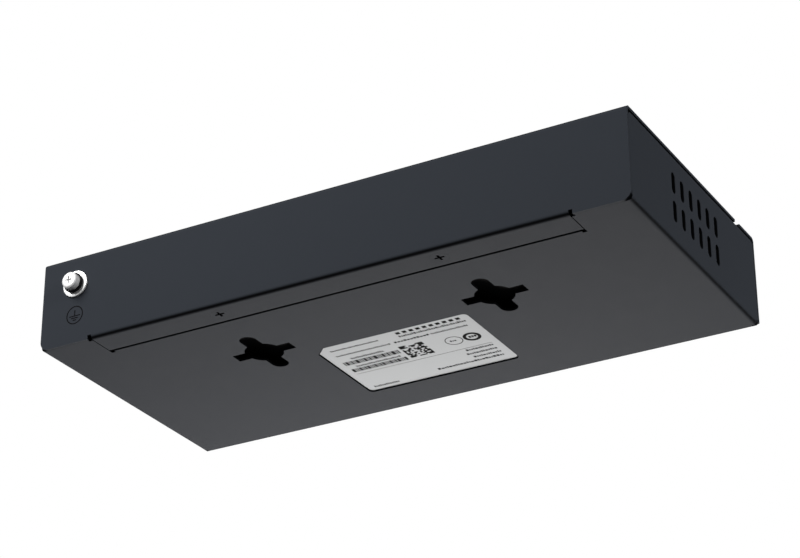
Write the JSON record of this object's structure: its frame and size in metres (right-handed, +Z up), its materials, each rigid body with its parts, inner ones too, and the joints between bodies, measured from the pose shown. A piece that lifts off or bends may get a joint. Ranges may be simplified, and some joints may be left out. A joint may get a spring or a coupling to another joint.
{
  "type": "ethernet switch",
  "caption": "Small folded-steel network switch with jacks and power inlet on the front, end vents, cross-shaped wall holes and a ground screw on the rear.",
  "frame": {"origin": "middle of the housing's footprint, on the plane that it rests on", "axes": "+Z up, +Y towards the rear wall with the ground screw, +X to the right seen from the front"},
  "size_m": [0.187, 0.0915, 0.028],
  "materials": {
    "housing_paint": "fine matt powder coat on steel",
    "black_screw": "black zinc plating",
    "nickel": "bright nickel plating",
    "label_film": "satin polyester film",
    "black_film": "matt black polyester film",
    "board_laminate": "green solder mask over glass laminate",
    "jack_plastic": "black moulded nylon",
    "shield_tin": "tinned steel sheet",
    "spring_gold": "gold plated spring bronze",
    "clear_acrylic": "clear moulded acrylic",
    "lamp_resin": "pale cast resin",
    "chip_resin": "black moulding resin",
    "soft_pad": "filled silicone pad",
    "sink_aluminium": "black anodised extrusion",
    "capacitor_can": "drawn aluminium can",
    "coil_resin": "pressed iron powder",
    "crystal_steel": "plated steel can",
    "fuse_ceramic": "white ceramic with plated caps"
  },
  "bodies": {
    "root": {"base_tray": "housing_paint", "top_cover": "housing_paint", "cover_screws": "black_screw", "ground_screw": "nickel", "ground_flat_washer": "nickel", "ground_lock_washer": "black_screw", "ground_nut": "nickel", "rating_label": "label_film", "board_standoffs": "nickel", "insulating_film": "black_film", "circuit_board": "board_laminate", "board_screws": "nickel", "port_housing": "jack_plastic", "uplink_housing": "jack_plastic", "port_shield": "shield_tin", "uplink_shield": "shield_tin", "port_spring_carrier": "jack_plastic", "uplink_spring_carrier": "jack_plastic", "inlet_body": "jack_plastic", "inlet_pin": "nickel", "inlet_spring": "spring_gold", "port_light_pipe": "clear_acrylic", "uplink_light_pipe": "clear_acrylic", "power_light_pipe": "clear_acrylic", "status_lamps": "lamp_resin", "switch_chip": "chip_resin", "thermal_pad": "soft_pad", "heat_sink": "sink_aluminium", "input_capacitor_1": "capacitor_can", "input_capacitor_2": "capacitor_can", "buck_inductor_1": "coil_resin", "buck_inductor_2": "coil_resin", "buck_inductor_3": "coil_resin", "power_chip": "chip_resin", "flash_chip": "chip_resin", "crystal_can": "crystal_steel", "input_fuse": "fuse_ceramic", "port_springs_1": "spring_gold", "port_springs_2": "spring_gold", "port_springs_3": "spring_gold", "port_springs_4": "spring_gold", "port_springs_5": "spring_gold", "port_springs_6": "spring_gold", "port_springs_7": "spring_gold", "port_springs_8": "spring_gold", "uplink_springs_1": "spring_gold", "uplink_springs_2": "spring_gold", "coil_box_1": "chip_resin", "coil_box_2": "chip_resin", "coil_box_3": "chip_resin", "coil_box_4": "chip_resin", "coil_box_5": "chip_resin"}
  },
  "joints": []
}
